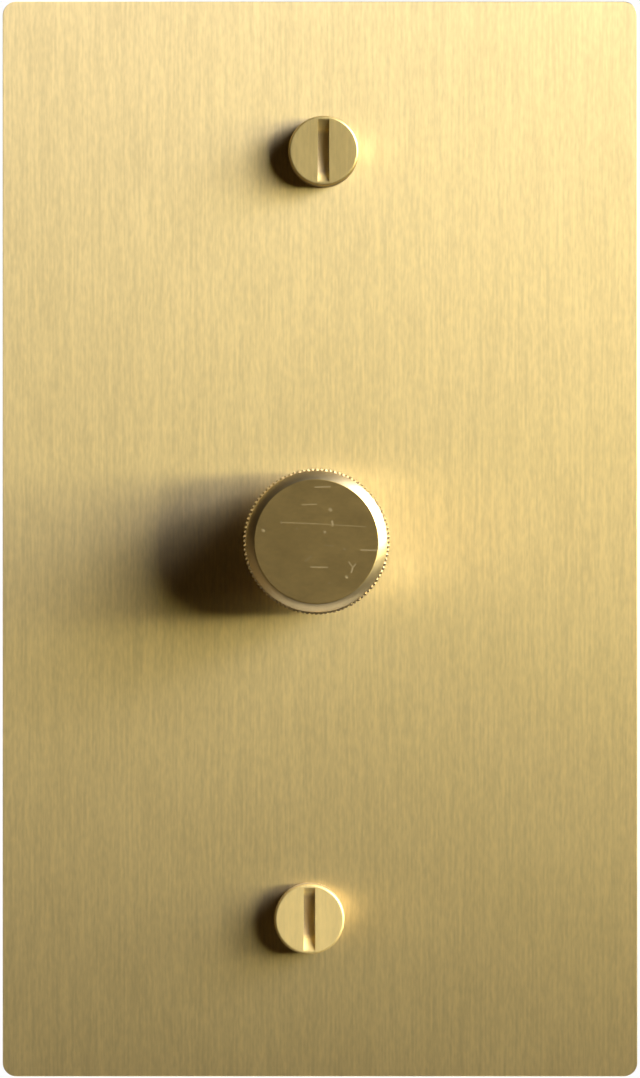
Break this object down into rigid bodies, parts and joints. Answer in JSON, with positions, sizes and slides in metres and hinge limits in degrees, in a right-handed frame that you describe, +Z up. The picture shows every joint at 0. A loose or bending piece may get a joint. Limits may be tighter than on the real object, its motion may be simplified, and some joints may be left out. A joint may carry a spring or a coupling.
{
  "type": "rotary dimmer switch",
  "caption": "Rectangular brass wall plate with a knurled push and turn dimmer knob on its centre, coin-slot wall screws and a moulded dimmer module behind.",
  "frame": {"origin": "centre of the brass plate's back face, on the knob's axis", "axes": "X to the right and Z up as seen from the room, Y into the wall along the knob's axis"},
  "size_m": [0.0692, 0.0412, 0.1172],
  "materials": {
    "plate_brass": "vertically brushed, satin lacquer",
    "knob_brass": "turned and diamond knurled, satin face",
    "screw_brass": "brushed heads",
    "terminal_brass": "bright turned",
    "plated_steel": "zinc plated",
    "aluminium_plate": "mill finish",
    "case_plastic": "moulded, fine texture",
    "switch_plastic": "moulded",
    "nylon": "natural nylon",
    "board_laminate": "solder masked laminate",
    "phenolic": "laminate",
    "capacitor_yellow": "potted box",
    "epoxy_black": "moulded epoxy",
    "resistor_coat": "dipped",
    "ferrite": "sintered",
    "enamelled_copper": "enamelled wire",
    "contact_metal": "phosphor bronze",
    "fuse_ceramic": "glazed tube with metal caps",
    "spring_steel": "drawn wire"
  },
  "bodies": {
    "wall_unit": {"face_plate": "plate_brass", "upper_screw": "screw_brass", "lower_screw": "screw_brass", "threaded_bush": "plated_steel", "bush_nut": "plated_steel", "lock_washer": "plated_steel", "heat_sink_plate": "aluminium_plate", "case_screws": "plated_steel", "module_case": "case_plastic", "pot_housing": "plated_steel", "resistive_track": "phenolic", "circuit_board": "board_laminate", "switch_cover": "switch_plastic", "switch_body": "switch_plastic", "return_spring": "spring_steel", "left_fixed_contact": "contact_metal", "right_fixed_contact": "contact_metal", "line_terminal": "terminal_brass", "load_terminal": "terminal_brass", "two_way_terminal": "terminal_brass", "line_clamp_screw": "plated_steel", "load_clamp_screw": "plated_steel", "two_way_clamp_screw": "plated_steel", "inductor_core": "ferrite", "inductor_winding": "enamelled_copper", "film_capacitor": "capacitor_yellow", "timing_capacitor": "capacitor_yellow", "fuse": "fuse_ceramic", "resistor_1": "resistor_coat", "resistor_2": "resistor_coat", "resistor_3": "resistor_coat", "diac": "resistor_coat", "trimmer_body": "switch_plastic", "triac": "epoxy_black", "triac_rivet": "aluminium_plate", "earth_terminal": "terminal_brass", "earth_clamp_screw": "terminal_brass"},
    "rotor": {"wiper_rotor": "nylon", "wiper_contact": "contact_metal"},
    "control": {"knob": "knob_brass", "knob_grub_screw": "plated_steel", "spindle": "terminal_brass", "spindle_clip": "spring_steel"},
    "plunger": {"switch_plunger": "nylon", "moving_contact": "contact_metal"},
    "trimmer": {"trimmer_rotor": "nylon"}
  },
  "joints": [
    {"name": "knob_turn", "type": "hinge", "parent": "wall_unit", "child": "rotor", "pos_m": [0, 0, 0], "axis": [0, 1, 0], "range_deg": [-135, 135]},
    {"name": "knob_push", "type": "slide", "parent": "rotor", "child": "control", "axis": [0, 1, 0], "range_m": [0, 0.0015], "stiffness_N_per_m": 1500, "springref_m": -0.002, "deforming": ["return_spring"]},
    {"name": "plunger_push", "type": "slide", "parent": "wall_unit", "child": "plunger", "axis": [0, 1, 0], "range_m": [0, 0.0015]},
    {"name": "trimmer_turn", "type": "hinge", "parent": "wall_unit", "child": "trimmer", "pos_m": [0.0151, 0, 0], "axis": [0, 1, 0], "range_deg": [-105, 105]}
  ],
  "couplings": [
    {"joint": "plunger_push", "follows": "knob_push", "ratio": 1}
  ]
}
